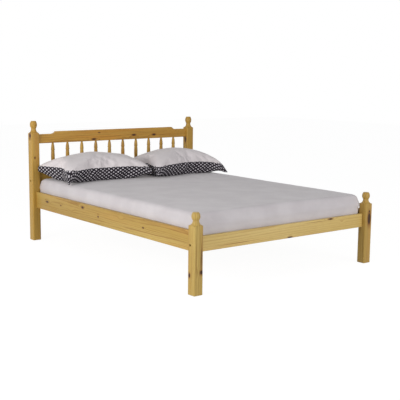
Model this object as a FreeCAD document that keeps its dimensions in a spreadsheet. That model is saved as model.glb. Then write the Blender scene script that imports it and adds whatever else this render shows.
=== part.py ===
import FreeCAD, Part

import math
import os

import Sketcher

# A double bed in solid pine with a turned spindle headboard, dressed with a mattress, a fitted sheet
# and two pillows.  Millimetres.  X runs across the bed (right, seen from its foot), Y from the foot to
# the head, Z up.  The origin lies on the floor, in the middle between the four posts.

SIZES = {
    # the bed outside its posts
    "bed_width": 1480,
    "bed_length": 2000,
    # square posts with rounded arrises
    "post_width": 62,
    "post_corner_radius": 7,
    "post_foot_bevel": 2,
    "head_post_height": 878,
    "foot_post_height": 470,
    # turned finials, their drops measured down from the post's top
    "finial_flat_radius": 17,
    "finial_ball_radius": 25.5,
    "finial_ball_drop": 21,
    "finial_neck_radius": 18,
    "head_finial_neck_drop": 53,
    "head_finial_cove_drop": 59,
    "head_finial_shoulder_drop": 90,
    "foot_finial_neck_drop": 45,
    "foot_finial_cove_drop": 48,
    "foot_finial_shoulder_drop": 75,
    # planed boards: side rails, foot rail and the three rails of the headboard
    "rail_thickness": 25,
    "rail_edge_radius": 4,
    "rail_floor_gap": 241,
    "side_rail_height": 118,
    "side_rail_inset": 30.5,
    "foot_rail_height": 89,
    "foot_rail_inset": 29,
    "slat_rail_height": 89,
    "lower_rail_height": 118,
    "lower_rail_top": 500,
    "top_rail_underside": 713,
    "top_rail_end_height": 67,
    "crest_rise": 18,
    "crest_margin": 108,
    "crest_step": 37,
    "crest_corner_radius": 6,
    # turned spindles
    "spindle_count": 10,
    "spindle_neck_radius": 6.5,
    "spindle_tenon_length": 14,
    "spindle_bud_radius": 13,
    "spindle_bud_length": 46,
    "spindle_bead_radius": 14.5,
    "spindle_bead_length": 10,
    "spindle_groove_radius": 12,
    "spindle_waist_radius": 14,
    # wooden dowels that locate the rails in the posts
    "dowel_radius": 4,
    "dowel_bite": 24,
    "cross_dowel_margin": 14.5,
    "side_dowel_margin": 26,
    "wood_fit": 0.2,
    # connector bolts through the posts into barrel nuts in the rails
    "bolt_radius": 3,
    "bolt_reach": 45,
    "bolt_head_radius": 6.5,
    "bolt_head_thickness": 3,
    "bolt_sink_radius": 7.5,
    "bolt_sink_depth": 12,
    "barrel_radius": 5,
    "barrel_length": 18,
    "barrel_setback": 35,
    "bolt_fit": 0.25,
    "thread_fit": 0.05,
    # studs that draw the side rails to the posts
    "stud_radius": 4,
    "insert_radius": 6,
    "insert_length": 25,
    "stud_tail": 5,
    "stud_nut_flats": 13,
    "stud_nut_thickness": 6.5,
    "washer_thickness": 3,
    "washer_height": 28,
    "washer_depth": 15,
    "pocket_setback": 40,
    "pocket_length": 30,
    "pocket_height": 34,
    "pocket_depth": 21,
    # ledgers, slats and the centre support
    "slat_top_height": 300,
    "slat_thickness": 18,
    "slat_width": 70,
    "slat_count": 14,
    "slat_end_gap": 12,
    "slat_side_gap": 2,
    "slat_edge_radius": 2,
    "ledger_width": 28,
    "ledger_height": 32,
    "ledger_end_gap": 4,
    "centre_rail_width": 60,
    "centre_rail_height": 36,
    "centre_rail_end_gap": 0.5,
    "centre_leg_width": 40,
    "centre_leg_towards_foot": 22,
    "leg_pin_radius": 5,
    "leg_pin_length": 40,
    "saddle_sheet": 2,
    "saddle_length": 30,
    "saddle_height": 30,
    "saddle_ear": 20,
    "saddle_fit": 0.2,
    # countersunk wood screws
    "screw_radius": 2,
    "screw_head_radius": 4,
    "screw_head_depth": 3,
    "slat_screw_length": 35,
    "ledger_screw_length": 42,
    "ledger_screw_count": 7,
    "ledger_screw_margin": 60,
    "saddle_screw_length": 18,
    # bedding
    "mattress_side_gap": 9.5,
    "mattress_end_gap": 4.25,
    "mattress_edge_height": 152,
    "mattress_crown": 6,
    "mattress_side_bulge": 4,
    "mattress_corner_radius": 30,
    "mattress_top_radius": 24,
    "mattress_foot_radius": 12,
    "sheet_thickness": 0.8,
    "sheet_turn_under": 120,
    "pillow_clearance": 0.3,
    "pillow_settle": 1,
    "pillow_overhang": 29,
    "pillow_depth": 410,
    "pillow_height": 190,
    "pillow_end_height": 112,
    "pillow_end_lift": 38,
    "pillow_ear_reach": 22,
    "pillow_undercut": 55,
    "pillow_belly": 12,
    "left_pillow_shift": 2,
    "left_pillow_back_gap": 20,
    "right_pillow_shift": 22,
    "right_pillow_back_gap": 52,
    "right_pillow_turn": 3,
}

ROOT_HALF = math.sqrt(0.5)
NO_TURN = FreeCAD.Rotation()
X_AXIS = FreeCAD.Vector(1, 0, 0)
Y_AXIS = FreeCAD.Vector(0, 1, 0)
Z_AXIS = FreeCAD.Vector(0, 0, 1)

# Plane across each axis, and which way along the axis that plane's normal points.
ACROSS = {"X": ("YZ_Plane", 1), "Y": ("XZ_Plane", -1), "Z": ("XY_Plane", 1)}

# How near two coordinates lie that count as one.
FLUSH = 1e-4


class Size:
    """A length with its present number and the sheet formula that it stands for."""

    def __init__(self, number, formula):
        self.number = number
        self.formula = formula

    def joined(self, other, sign, number):
        other_formula = other.formula if isinstance(other, Size) else repr(other)
        return Size(number, "(" + self.formula + " " + sign + " " + other_formula + ")")

    def __add__(self, other):
        return self.joined(other, "+", self.number + plain(other))

    def __sub__(self, other):
        return self.joined(other, "-", self.number - plain(other))

    def __mul__(self, other):
        return self.joined(other, "*", self.number * plain(other))

    def __truediv__(self, other):
        return self.joined(other, "/", self.number / plain(other))

    def __neg__(self):
        return self * -1

    def root(self):
        return Size(math.sqrt(self.number), "sqrt(" + self.formula + ")")


def plain(value):
    """The number of a size, or the number itself."""
    return value.number if isinstance(value, Size) else value


class SizeTable:
    """Each named size of the sheet as an attribute."""

    def __init__(self, sheet, sizes):
        for row, (name, number) in enumerate(sizes.items(), start=1):
            label_cell = "A" + str(row)
            number_cell = "B" + str(row)
            sheet.set(label_cell, name)
            sheet.set(number_cell, str(number))
            sheet.setAlias(number_cell, name)
            setattr(self, name, Size(number, "dims." + name))


doc = FreeCAD.newDocument("spindle_bed")
dims = doc.addObject("Spreadsheet::Sheet", "dims")
S = SizeTable(dims, SIZES)
ZERO = Size(0, "0")
doc.recompute()

nodes = []


# ---------------------------------------------------------------- document helpers

def bind(thing, property_name, size):
    """Tie one property to the sheet, and give it its present value."""
    if isinstance(size, Size):
        thing.setExpression(property_name, size.formula)
    else:
        setattr(thing, property_name, size)


def new_body(label):
    body = doc.addObject("PartDesign::Body", label)
    body.Label = label
    return body


def as_node(thing):
    """Keep a finished piece for the export."""
    nodes.append(thing)
    return thing


def place(thing, x, y, z):
    """Put a piece's own origin at x, y, z of the bed."""
    for axis, size in (("x", x), ("y", y), ("z", z)):
        if isinstance(size, Size):
            thing.setExpression("Placement.Base." + axis, size.formula)
    return thing


def origin_plane(body, role):
    return [feature for feature in body.Origin.OriginFeatures if feature.Role == role][0]


def new_sketch(body, name, axis, start=ZERO):
    """A sketch square to an axis of the body, at the distance start along that axis."""
    role, normal = ACROSS[axis]
    sketch = body.newObject("Sketcher::SketchObject", name)
    sketch.AttachmentSupport = [(origin_plane(body, role), "")]
    sketch.MapMode = "FlatFace"
    sketch.AttachmentOffset = FreeCAD.Placement(FreeCAD.Vector(0, 0, start.number * normal), NO_TURN)
    sketch.setExpression("AttachmentOffset.Base.z", (start * normal).formula)
    return sketch


def pin_point(sketch, geometry, vertex, point):
    """Hold one vertex at a point whose two coordinates are sizes."""
    rulings = (("DistanceX", point[0], -2), ("DistanceY", point[1], -1))
    for kind, size, axis_line in rulings:
        if size is ZERO:
            sketch.addConstraint(Sketcher.Constraint("PointOnObject", geometry, vertex, axis_line))
        else:
            held = Sketcher.Constraint(kind, -1, 1, geometry, vertex, size.number)
            index = sketch.addConstraint(held)
            sketch.setExpression("Constraints[" + str(index) + "]", size.formula)


def flat(point):
    return FreeCAD.Vector(point[0].number, point[1].number, 0)


def draw_outline(sketch, path):
    """Closed outline.  A step is (end,) for a straight run or (through, end) for an arc."""
    before = path[-1][-1]
    ends = []
    for step in path:
        after = step[-1]
        if len(step) == 1:
            index = sketch.addGeometry(Part.LineSegment(flat(before), flat(after)), False)
            first, last = 1, 2
        else:
            curve = Part.Arc(flat(before), flat(step[0]), flat(after))
            index = sketch.addGeometry(curve, False)
            turned = sketch.getPoint(index, 1).distanceToPoint(flat(before)) > 1e-6
            first, last = (2, 1) if turned else (1, 2)
            middle = sketch.addGeometry(Part.Point(flat(step[0])), True)
            sketch.addConstraint(Sketcher.Constraint("PointOnObject", middle, 1, index))
            pin_point(sketch, middle, 1, step[0])
        pin_point(sketch, index, last, after)
        ends.append((index, first, last))
        before = after
    for here, ahead in zip(ends, ends[1:] + ends[:1]):
        sketch.addConstraint(Sketcher.Constraint("Coincident", here[0], here[2], ahead[0], ahead[1]))
    return sketch


def draw_rectangle(sketch, low, high):
    """Rectangle between two corners given as sizes."""
    corners = [(high[0], low[1]), (high[0], high[1]), (low[0], high[1]), (low[0], low[1])]
    return draw_outline(sketch, [(corner,) for corner in corners])


def draw_centred_rectangle(sketch, width, height):
    return draw_rectangle(sketch, (width / -2, height / -2), (width / 2, height / 2))


def draw_circles(sketch, centres, radius):
    for centre in centres:
        circle = Part.Circle(flat(centre), Z_AXIS, radius.number)
        index = sketch.addGeometry(circle, False)
        pin_point(sketch, index, 3, centre)
        row = sketch.addConstraint(Sketcher.Constraint("Radius", index, radius.number))
        sketch.setExpression("Constraints[" + str(row) + "]", radius.formula)
    return sketch


def pad(body, sketch, length, both_ways=False, reverse=False):
    feature = body.newObject("PartDesign::Pad", sketch.Label + "_pad")
    feature.Profile = sketch
    bind(feature, "Length", length)
    feature.Midplane = both_ways
    feature.Reversed = reverse
    doc.recompute()
    return feature


def cut(body, sketch, axis, depth, toward):
    """Pocket that must take wood away, cut toward +1 or -1 along the axis."""
    before = body.Shape.Volume
    feature = body.newObject("PartDesign::Pocket", sketch.Label + "_cut")
    feature.Profile = sketch
    bind(feature, "Length", depth)
    feature.Reversed = toward == ACROSS[axis][1]
    doc.recompute()
    if not body.Shape.Volume < before:
        raise RuntimeError(body.Label + ": " + sketch.Label + " cuts nothing")
    return feature


def bore(body, name, axis, centres, start, depth, toward, radius):
    """Round holes of one size that start at one height along the axis."""
    sketch = new_sketch(body, name, axis, start)
    draw_circles(sketch, centres, radius)
    return cut(body, sketch, axis, depth, toward)


def turn(body, kind, sketch):
    """Revolution or Groove about the sketch's upright axis."""
    feature = body.newObject("PartDesign::" + kind, sketch.Label + "_turned")
    feature.Profile = sketch
    feature.ReferenceAxis = (sketch, ["V_Axis"])
    feature.Angle = 360
    doc.recompute()
    return feature


def dress_edges(body, kind, property_name, size, chosen):
    """Fillet or Chamfer on the edges of the body that the test picks."""
    base = body.Tip
    picked = ["Edge" + str(number) for number, edge in enumerate(base.Shape.Edges, start=1) if chosen(edge)]
    if not picked:
        raise RuntimeError(body.Label + ": no edge to dress")
    feature = body.newObject("PartDesign::" + kind, kind + "_" + body.Label)
    feature.Base = (base, picked)
    bind(feature, property_name, size)
    doc.recompute()
    return feature


def runs_along(axis):
    """Test for straight edges along an axis."""
    number = "XYZ".index(axis)

    def chosen(edge):
        box = edge.BoundBox
        spans = [box.XLength, box.YLength, box.ZLength]
        length = spans.pop(number)
        return length > FLUSH and max(spans) < FLUSH

    return chosen


def lies_at_height(height):
    """Test for edges in one level plane."""

    def chosen(edge):
        box = edge.BoundBox
        return abs(box.ZMin - height) < FLUSH and abs(box.ZMax - height) < FLUSH

    return chosen


def tangent_arc_middle(along, across):
    """Middle of an arc that leaves its start along one way and ends that far along and across."""
    chord = (along * along + across * across).root()
    radius = (along * along + across * across) / (across * 2)
    return radius * across / chord, radius - radius * along / chord


def group(label, solids):
    """Identical small pieces in one node, each its own solid."""
    thing = doc.addObject("Part::Feature", label)
    thing.Label = label
    thing.Shape = Part.makeCompound(solids)
    thing.Placement = FreeCAD.Placement()
    return as_node(thing)


# ---------------------------------------------------------------- places shared by the pieces

SIDES = {"left": -1, "right": 1}
ENDS = {"foot": -1, "head": 1}

half_width = S.bed_width / 2
half_length = S.bed_length / 2
half_post = S.post_width / 2
post_x = half_width - half_post
post_y = half_length - half_post

cross_rail_length = S.bed_width - S.post_width * 2
side_rail_length = S.bed_length - S.post_width * 2

side_rail_x = half_width - S.side_rail_inset - S.rail_thickness / 2
side_rail_inner_x = side_rail_x - S.rail_thickness / 2
foot_rail_y = -half_length + S.foot_rail_inset + S.rail_thickness / 2
foot_rail_inner_y = foot_rail_y + S.rail_thickness / 2
head_rail_inner_y = post_y - S.rail_thickness / 2

side_rail_z = S.rail_floor_gap + S.side_rail_height / 2
foot_rail_z = S.rail_floor_gap + S.foot_rail_height / 2
slat_rail_z = S.rail_floor_gap + S.slat_rail_height / 2
lower_rail_z = S.lower_rail_top - S.lower_rail_height / 2
top_rail_z = S.top_rail_underside + S.top_rail_end_height / 2

slat_underside = S.slat_top_height - S.slat_thickness
slat_screw_bite = S.slat_screw_length - S.slat_thickness
ledger_x = side_rail_inner_x - S.ledger_width / 2
ledger_z = slat_underside - S.ledger_height / 2
centre_rail_underside = slat_underside - S.centre_rail_height
bedding_centre_y = (head_rail_inner_y + foot_rail_inner_y) / 2
mattress_width = (side_rail_inner_x - S.mattress_side_gap) * 2
mattress_length = head_rail_inner_y - foot_rail_inner_y - S.mattress_end_gap * 2
pillow_length = mattress_width / 2 + S.pillow_overhang

saddle_cheek = S.centre_rail_width / 2 + S.saddle_fit
saddle_side = saddle_cheek + S.saddle_sheet
saddle_screw_x = saddle_side + S.saddle_ear / 2
saddle_screw_z = S.saddle_height / 2

# Cross rails: (label, height of the board, height of its middle, its y, drawn up by bolts)
FOOT_RAIL = ("foot_rail", S.foot_rail_height, foot_rail_z, foot_rail_y, True)
SLAT_RAIL = ("head_slat_rail", S.slat_rail_height, slat_rail_z, post_y, False)
LOWER_RAIL = ("head_lower_rail", S.lower_rail_height, lower_rail_z, post_y, True)
TOP_RAIL = ("head_top_rail", S.top_rail_end_height, top_rail_z, post_y, True)
CROSS_RAILS = {"head": (SLAT_RAIL, LOWER_RAIL, TOP_RAIL), "foot": (FOOT_RAIL,)}
POST_HEIGHTS = {"head": S.head_post_height, "foot": S.foot_post_height}
FINIAL_DROPS = {
    "head": (S.head_finial_neck_drop, S.head_finial_cove_drop, S.head_finial_shoulder_drop),
    "foot": (S.foot_finial_neck_drop, S.foot_finial_cove_drop, S.foot_finial_shoulder_drop),
}


def dowel_heights(board_height, middle, margin):
    """Heights of the two dowels in a rail's end."""
    reach = board_height / 2 - margin
    return middle - reach, middle + reach


# ---------------------------------------------------------------- posts

def finial_waste(height, neck_drop, cove_drop, shoulder_drop):
    """What the lathe takes off the square post above its shoulder, as radius and height."""
    corner = S.post_width * ROOT_HALF
    spread = corner - S.finial_neck_radius
    along, across = tangent_arc_middle(shoulder_drop - cove_drop, spread)
    cove_top = height - cove_drop
    shoulder = height - shoulder_drop
    above = height + S.finial_flat_radius
    return [
        (
            (S.finial_ball_radius, height - S.finial_ball_drop),
            (S.finial_neck_radius, height - neck_drop),
        ),
        ((S.finial_neck_radius, cove_top),),
        ((S.finial_neck_radius + across, cove_top - along), (corner, shoulder)),
        ((S.post_width, shoulder),),
        ((S.post_width, above),),
        ((S.finial_flat_radius, above),),
        ((S.finial_flat_radius, height),),
    ]


def make_post(side_name, end_name):
    side = SIDES[side_name]
    end = ENDS[end_name]
    height = POST_HEIGHTS[end_name]
    body = new_body(end_name + "_post_" + side_name)
    square = draw_centred_rectangle(new_sketch(body, "square", "Z"), S.post_width, S.post_width)
    pad(body, square, height)
    dress_edges(body, "Fillet", "Radius", S.post_corner_radius, runs_along("Z"))
    waste = finial_waste(height, *FINIAL_DROPS[end_name])
    turn(body, "Groove", draw_outline(new_sketch(body, "finial", "Y"), waste))
    dress_edges(body, "Chamfer", "Size", S.post_foot_bevel, lies_at_height(0))

    dowel_hole = S.dowel_radius + S.wood_fit
    dowel_depth = S.dowel_bite + S.wood_fit
    inner = half_post * -side
    outer = half_post * side
    for label, board_height, middle, y, bolted in CROSS_RAILS[end_name]:
        local_y = y - post_y * end if y is not post_y else ZERO
        centres = [(local_y, z) for z in dowel_heights(board_height, middle, S.cross_dowel_margin)]
        bore(body, label + "_dowels", "X", centres, inner, dowel_depth, side, dowel_hole)
        if bolted:
            centre = [(local_y, middle)]
            bore(body, label + "_sink", "X", centre, outer, S.bolt_sink_depth, -side, S.bolt_sink_radius)
            shank = S.bolt_radius + S.bolt_fit
            bore(body, label + "_bolt", "X", centre, outer, S.post_width, -side, shank)

    local_x = (side_rail_x - post_x) * side
    face = half_post * -end
    centres = [(local_x, z) for z in dowel_heights(S.side_rail_height, side_rail_z, S.side_dowel_margin)]
    bore(body, "side_dowels", "Y", centres, face, dowel_depth, end, dowel_hole)
    bore(body, "insert", "Y", [(local_x, side_rail_z)], face, S.insert_length, end, S.insert_radius)
    place(body, post_x * side, post_y * end, ZERO)
    return as_node(body)


# ---------------------------------------------------------------- rails across the bed

def straight_board(body, length, height):
    """Board along X with its section centred on the body's origin."""
    section = draw_centred_rectangle(new_sketch(body, "section", "X"), S.rail_thickness, height)
    pad(body, section, length, both_ways=True)


def bounds_a_wide_face(edge):
    """True for the long edges of a board's front and back, a crest's steps included."""
    box = edge.BoundBox
    return box.YLength < FLUSH < box.XLength


def crested_board(body, length):
    """Headboard rail whose middle stands proud of its ends, stepped by a cove at each side."""
    low = S.top_rail_end_height / -2
    shoulder = S.top_rail_end_height / 2
    crest = shoulder + S.crest_rise
    foot_of_step = length / 2 - S.crest_margin
    top_of_step = foot_of_step - S.crest_step
    along, across = tangent_arc_middle(S.crest_step, S.crest_rise)
    elevation = [
        ((length / 2, low),),
        ((length / 2, shoulder),),
        ((foot_of_step, shoulder),),
        ((foot_of_step - along, shoulder + across), (top_of_step, crest)),
        ((-top_of_step, crest),),
        ((-foot_of_step + along, shoulder + across), (-foot_of_step, shoulder)),
        ((length / -2, shoulder),),
        ((length / -2, low),),
    ]
    pad(body, draw_outline(new_sketch(body, "elevation", "Y"), elevation), S.rail_thickness, both_ways=True)

    def crest_corner(edge):
        box = edge.BoundBox
        return max(box.XLength, box.ZLength) < FLUSH and abs(box.ZMax - crest.number) < FLUSH

    dress_edges(body, "Fillet", "Radius", S.crest_corner_radius, crest_corner)


def spindle_places():
    """X of each spindle: as far from each other as the outer ones are from the posts."""
    pitch = cross_rail_length / (S.spindle_count + 1)
    middle = (S.spindle_count.number + 1) / 2
    return [pitch * (number - middle) for number in range(1, S.spindle_count.number + 1)]


def make_cross_rail(rail, crested=False, spindle_edge=0, carries_centre_rail=False):
    """One board between two posts; spindle_edge is +1 or -1 where its top or underside takes tenons."""
    label, height, middle, y, bolted = rail
    body = new_body(label)
    if crested:
        crested_board(body, cross_rail_length)
    else:
        straight_board(body, cross_rail_length, height)
    dress_edges(body, "Fillet", "Radius", S.rail_edge_radius, bounds_a_wide_face)

    end_face = cross_rail_length / 2
    heights = dowel_heights(height, ZERO, S.cross_dowel_margin)
    dowel_hole = S.dowel_radius + S.wood_fit
    for side in SIDES.values():
        centres = [(ZERO, z) for z in heights]
        bore(body, "dowels", "X", centres, end_face * side, S.dowel_bite + S.wood_fit, -side, dowel_hole)
        if bolted:
            reach = S.bolt_reach + S.bolt_fit
            shank = S.bolt_radius + S.bolt_fit
            bore(body, "bolt", "X", [(ZERO, ZERO)], end_face * side, reach, -side, shank)
    if bolted:
        setback = end_face - S.barrel_setback
        depth = (S.rail_thickness + S.barrel_length) / 2
        back = S.rail_thickness / 2
        centres = [(setback * side, ZERO) for side in SIDES.values()]
        bore(body, "barrels", "Y", centres, back, depth, -1, S.barrel_radius + S.bolt_fit)
    if carries_centre_rail:
        screw_z = centre_rail_underside + saddle_screw_z - middle
        centres = [(saddle_screw_x * side, screw_z) for side in SIDES.values()]
        toward = -1 if y is foot_rail_y else 1
        bite = S.saddle_screw_length - S.saddle_sheet - S.screw_head_depth
        draw_pilots(body, "saddle_pilots", "Y", centres, S.rail_thickness / 2 * -toward, bite, toward)
    if spindle_edge:
        centres = [(x, ZERO) for x in spindle_places()]
        depth = S.spindle_tenon_length + S.wood_fit
        radius = S.spindle_neck_radius + S.wood_fit
        bore(body, "tenons", "Z", centres, height / 2 * spindle_edge, depth, -spindle_edge, radius)
    place(body, ZERO, y, middle)
    return as_node(body)


# ---------------------------------------------------------------- spindles

def spindle_profile():
    """Radius and height of one spindle about its middle, tenons included."""
    half = (S.top_rail_underside - S.lower_rail_top) / 2
    tip = half + S.spindle_tenon_length
    bud = half - S.spindle_bud_length
    bead_middle = bud - S.spindle_bead_length / 2
    groove = bud - S.spindle_bead_length
    along, across = tangent_arc_middle(S.spindle_bud_length, S.spindle_bud_radius - S.spindle_neck_radius)
    swell = S.spindle_bud_radius - across
    return [
        ((S.spindle_neck_radius, -tip),),
        ((S.spindle_neck_radius, -half),),
        ((swell, -bud - along), (S.spindle_bud_radius, -bud)),
        ((S.spindle_bead_radius, -bead_middle), (S.spindle_groove_radius, -groove)),
        ((S.spindle_waist_radius, ZERO), (S.spindle_groove_radius, groove)),
        ((S.spindle_bead_radius, bead_middle), (S.spindle_bud_radius, bud)),
        ((swell, bud + along), (S.spindle_neck_radius, half)),
        ((S.spindle_neck_radius, tip),),
        ((ZERO, tip),),
        ((ZERO, -tip),),
    ]


def make_spindle(number, x):
    body = new_body("spindle_" + format(number, "02d"))
    turn(body, "Revolution", draw_outline(new_sketch(body, "profile", "Y"), spindle_profile()))
    place(body, x, post_y, (S.top_rail_underside + S.lower_rail_top) / 2)
    return as_node(body)


# ---------------------------------------------------------------- side rails and ledgers

def make_side_rail(side_name):
    """Long rail: dowels and a stud bore in each end, and a pocket on its inner face for the nut."""
    side = SIDES[side_name]
    body = new_body("side_rail_" + side_name)
    section = draw_centred_rectangle(new_sketch(body, "section", "Y"), S.rail_thickness, S.side_rail_height)
    pad(body, section, side_rail_length, both_ways=True)
    dress_edges(body, "Fillet", "Radius", S.rail_edge_radius, runs_along("Y"))
    heights = dowel_heights(S.side_rail_height, ZERO, S.side_dowel_margin)
    dowel_hole = S.dowel_radius + S.wood_fit
    end_face = side_rail_length / 2
    inner_face = S.rail_thickness / -2 * side
    stud_depth = S.pocket_setback + S.pocket_length
    half_pocket = S.pocket_height / 2
    for end in ENDS.values():
        start = end_face * end
        centres = [(ZERO, z) for z in heights]
        bore(body, "dowels", "Y", centres, start, S.dowel_bite + S.wood_fit, -end, dowel_hole)
        bore(body, "stud", "Y", [(ZERO, ZERO)], start, stud_depth, -end, S.stud_radius + S.bolt_fit)
        near = (end_face - S.pocket_setback) * end
        far = near - S.pocket_length * end
        pocket = new_sketch(body, "pocket", "X", inner_face)
        draw_rectangle(pocket, (near, -half_pocket), (far, half_pocket))
        cut(body, pocket, "X", S.pocket_depth, side)
    centres = [(y, ledger_z - side_rail_z) for y in ledger_screw_places()]
    bite = S.ledger_screw_length - S.ledger_width
    draw_pilots(body, "ledger_pilots", "X", centres, inner_face, bite, side)
    place(body, side_rail_x * side, ZERO, side_rail_z)
    return as_node(body)


def ledger_screw_places():
    """Y of each screw through a ledger."""
    run = side_rail_length / 2 - S.ledger_screw_margin
    last = S.ledger_screw_count.number - 1
    return [run * (2 * number / last - 1) for number in range(last + 1)]


def draw_pilots(body, name, axis, centres, start, depth, toward):
    """Threaded holes for a row of screws that enter at start."""
    bore(body, name, axis, centres, start, depth + S.wood_fit, toward, S.screw_radius + S.thread_fit)


def draw_screw_holes(body, name, axis, centres, start, depth, toward):
    """Clearance hole and countersink for a row of screws whose heads lie at start."""
    bore(body, name, axis, centres, start, depth, toward, S.screw_radius + S.bolt_fit)
    sink = S.screw_head_radius + S.bolt_fit
    bore(body, name + "_sink", axis, centres, start, S.screw_head_depth, toward, sink)


def make_ledger(side_name):
    """Batten that carries the slats, screwed to the side rail's inner face."""
    side = SIDES[side_name]
    body = new_body("ledger_" + side_name)
    section = draw_centred_rectangle(new_sketch(body, "section", "Y"), S.ledger_width, S.ledger_height)
    pad(body, section, side_rail_length - S.ledger_end_gap * 2, both_ways=True)
    centres = [(y, ZERO) for y in ledger_screw_places()]
    draw_screw_holes(body, "screws", "X", centres, S.ledger_width / -2 * side, S.ledger_width, side)
    centres = [(ZERO, y) for y in slat_places()]
    draw_pilots(body, "slat_pilots", "Z", centres, S.ledger_height / 2, slat_screw_bite, -1)
    place(body, ledger_x * side, ZERO, ledger_z)
    return as_node(body)



# ---------------------------------------------------------------- slats and centre support

slat_length = (side_rail_inner_x - S.slat_side_gap) * 2


def slat_places():
    """Y of each slat, evenly between the posts."""
    run = side_rail_length / 2 - S.slat_end_gap - S.slat_width / 2
    last = S.slat_count.number - 1
    return [run * (2 * number / last - 1) for number in range(last + 1)]


def slat_screw_places():
    """X of the screws in one slat: one over each ledger and one over the centre rail."""
    return [-ledger_x, ZERO, ledger_x]


def make_slat(number, y):
    body = new_body("slat_" + format(number, "02d"))
    section = draw_centred_rectangle(new_sketch(body, "section", "X"), S.slat_width, S.slat_thickness)
    pad(body, section, slat_length, both_ways=True)
    dress_edges(body, "Fillet", "Radius", S.slat_edge_radius, runs_along("X"))
    centres = [(x, ZERO) for x in slat_screw_places()]
    draw_screw_holes(body, "screws", "Z", centres, S.slat_thickness / 2, S.slat_thickness, -1)
    place(body, ZERO, y, slat_underside + S.slat_thickness / 2)
    return as_node(body)


def make_centre_rail():
    """Flat bearer under the middle of the slats, held at its ends in two saddles."""
    body = new_body("centre_rail")
    length = head_rail_inner_y - foot_rail_inner_y - S.centre_rail_end_gap * 2
    section = new_sketch(body, "section", "Y")
    draw_centred_rectangle(section, S.centre_rail_width, S.centre_rail_height)
    pad(body, section, length, both_ways=True)
    pin_y = -S.centre_leg_towards_foot - bedding_centre_y
    depth = S.leg_pin_length / 2 + S.wood_fit
    underside = S.centre_rail_height / -2
    bore(body, "leg_pin", "Z", [(ZERO, pin_y)], underside, depth, 1, S.leg_pin_radius + S.wood_fit)
    centres = [(ZERO, y - bedding_centre_y) for y in slat_places()]
    draw_pilots(body, "slat_pilots", "Z", centres, S.centre_rail_height / 2, slat_screw_bite, -1)
    place(body, ZERO, bedding_centre_y, slat_underside - S.centre_rail_height / 2)
    return as_node(body)


def make_centre_leg():
    body = new_body("centre_leg")
    square = draw_centred_rectangle(new_sketch(body, "square", "Z"), S.centre_leg_width, S.centre_leg_width)
    pad(body, square, centre_rail_underside)
    dress_edges(body, "Fillet", "Radius", S.rail_edge_radius, runs_along("Z"))
    dress_edges(body, "Chamfer", "Size", S.post_foot_bevel, lies_at_height(0))
    depth = S.leg_pin_length / 2 + S.wood_fit
    bore(body, "pin", "Z", [(ZERO, ZERO)], centre_rail_underside, depth, -1, S.leg_pin_radius + S.wood_fit)
    place(body, ZERO, -S.centre_leg_towards_foot, ZERO)
    return as_node(body)


def make_centre_leg_pin():
    pin = doc.addObject("Part::Cylinder", "centre_leg_pin")
    pin.Label = "centre_leg_pin"
    bind(pin, "Radius", S.leg_pin_radius)
    bind(pin, "Height", S.leg_pin_length)
    place(pin, ZERO, -S.centre_leg_towards_foot, centre_rail_underside - S.leg_pin_length / 2)
    return as_node(pin)


def make_saddle(end_name):
    """Bent steel U with two ears: it opens upwards, and its ears are screwed to the cross rail."""
    end = ENDS[end_name]
    body = new_body("centre_rail_saddle_" + end_name)
    section = [
        ((saddle_side, -S.saddle_sheet),),
        ((saddle_side, S.saddle_height),),
        ((saddle_cheek, S.saddle_height),),
        ((saddle_cheek, ZERO),),
        ((-saddle_cheek, ZERO),),
        ((-saddle_cheek, S.saddle_height),),
        ((-saddle_side, S.saddle_height),),
        ((-saddle_side, -S.saddle_sheet),),
    ]
    tray = draw_outline(new_sketch(body, "tray", "Y"), section)
    pad(body, tray, S.saddle_length, reverse=end < 0)
    for side in SIDES.values():
        ear = new_sketch(body, "ear", "Y")
        tip = (saddle_side + S.saddle_ear) * side
        draw_rectangle(ear, (saddle_cheek * side, -S.saddle_sheet), (tip, S.saddle_height))
        pad(body, ear, S.saddle_sheet, reverse=end < 0)
    centres = [(saddle_screw_x * side, saddle_screw_z) for side in SIDES.values()]
    hole = S.screw_radius + S.bolt_fit
    bore(body, "screws", "Y", centres, ZERO, S.saddle_sheet, -end, hole)
    rail_face = head_rail_inner_y if end > 0 else foot_rail_inner_y
    place(body, ZERO, rail_face, centre_rail_underside)
    return as_node(body)


# ---------------------------------------------------------------- fasteners

def rod(radius, length, start, direction):
    return Part.makeCylinder(radius, length, start, direction)


def tube(outer, inner, length, start, direction):
    return rod(outer, length, start, direction).cut(rod(inner, length, start, direction))


def wood_screw(length, head, direction):
    """Countersunk screw whose flat head lies at the point head and which points along direction."""
    head_depth = S.screw_head_depth.number
    cone = Part.makeCone(S.screw_head_radius.number, S.screw_radius.number, head_depth, head, direction)
    shank = rod(S.screw_radius.number, length.number - head_depth, head + direction * head_depth, direction)
    return cone.fuse(shank).removeSplitter()


def point(x, y, z):
    return FreeCAD.Vector(plain(x), plain(y), plain(z))


def make_dowels():
    """All the dowels between rails and posts, half in each."""
    radius = S.dowel_radius.number
    bite = S.dowel_bite.number
    solids = []
    for side in SIDES.values():
        joint_x = cross_rail_length / 2 * side
        for end_name, rails in CROSS_RAILS.items():
            for label, board_height, middle, y, bolted in rails:
                for z in dowel_heights(board_height, middle, S.cross_dowel_margin):
                    start = point(joint_x, y, z) - X_AXIS * bite
                    solids.append(rod(radius, 2 * bite, start, X_AXIS))
        for end in ENDS.values():
            for z in dowel_heights(S.side_rail_height, side_rail_z, S.side_dowel_margin):
                start = point(side_rail_x * side, side_rail_length / 2 * end, z) - Y_AXIS * bite
                solids.append(rod(radius, 2 * bite, start, Y_AXIS))
    return group("rail_dowels", solids)


def bolted_joints():
    """Side, y and height of each connector bolt."""
    rails = [rail for rails in CROSS_RAILS.values() for rail in rails if rail[-1]]
    return [(side, y, middle) for side in SIDES.values() for label, height, middle, y, bolted in rails]


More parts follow.
